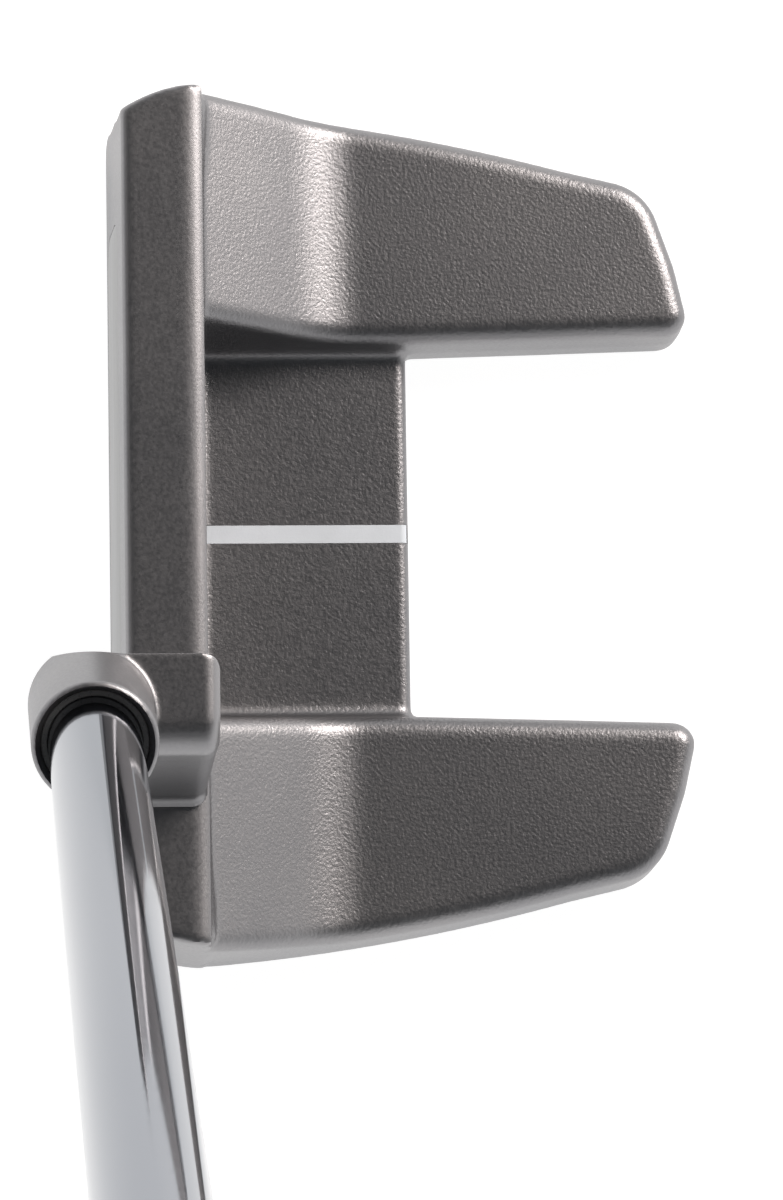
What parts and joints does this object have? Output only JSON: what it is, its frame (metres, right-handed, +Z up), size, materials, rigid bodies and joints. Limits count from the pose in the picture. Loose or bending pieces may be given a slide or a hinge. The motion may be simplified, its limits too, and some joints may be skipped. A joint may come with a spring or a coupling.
{
  "type": "mallet putter",
  "caption": "Mallet putter with a cast head whose two rear fangs flank a low sight-line floor, an offset plumber's neck, a stepped steel shaft and a flat-fronted grip.",
  "frame": {"origin": "on the sole's rest plane, under the middle of the head", "axes": "+X to the heel and the golfer, +Y to the back of the head, +Z up at address"},
  "size_m": [0.3652, 0.0803, 0.8245],
  "materials": {
    "blasted_steel": "media blasted, dark gunmetal",
    "satin_steel": "satin",
    "weight_metal": "turned",
    "chrome": "polished",
    "white_fill": "satin paint",
    "insert_metal": "fine milled",
    "trim_polymer": "satin",
    "resin": "cured adhesive",
    "tape": "matte",
    "grip_rubber": "fine pebble"
  },
  "bodies": {
    "club": {"head_body": "blasted_steel", "hosel_neck": "blasted_steel", "alignment_line": "white_fill", "face_insert": "insert_metal", "insert_bond": "resin", "sole_plate": "satin_steel", "sole_plate_screw_toe": "satin_steel", "sole_plate_screw_heel": "satin_steel", "shaft": "chrome", "shaft_tip_plug": "trim_polymer", "hosel_epoxy": "resin", "shaft_collar": "trim_polymer", "grip_tape": "tape", "grip_skin": "grip_rubber", "grip_mouth_ring": "grip_rubber", "butt_cap": "trim_polymer"},
    "toe_weight_travel": {"toe_weight_ring": "trim_polymer"},
    "toe_weight_turn": {"toe_weight": "weight_metal"},
    "heel_weight_travel": {"heel_weight_ring": "trim_polymer"},
    "heel_weight_turn": {"heel_weight": "weight_metal"}
  },
  "joints": [
    {"name": "toe_weight_advance", "type": "slide", "parent": "club", "child": "toe_weight_travel", "axis": [0, 0, -1], "range_m": [0, 0.004]},
    {"name": "toe_weight_screw", "type": "hinge", "parent": "toe_weight_travel", "child": "toe_weight_turn", "pos_m": [-0.0312, 0.0205, 0], "axis": [0, 0, -1], "range_deg": [0, 1440]},
    {"name": "heel_weight_advance", "type": "slide", "parent": "club", "child": "heel_weight_travel", "axis": [0, 0, -1], "range_m": [0, 0.004]},
    {"name": "heel_weight_screw", "type": "hinge", "parent": "heel_weight_travel", "child": "heel_weight_turn", "pos_m": [0.0312, 0.0205, 0], "axis": [0, 0, -1], "range_deg": [0, 1440]}
  ],
  "couplings": [
    {"joint": "toe_weight_screw", "follows": "toe_weight_advance", "rad_per_m": 6283.2},
    {"joint": "heel_weight_screw", "follows": "heel_weight_advance", "rad_per_m": 6283.2}
  ]
}
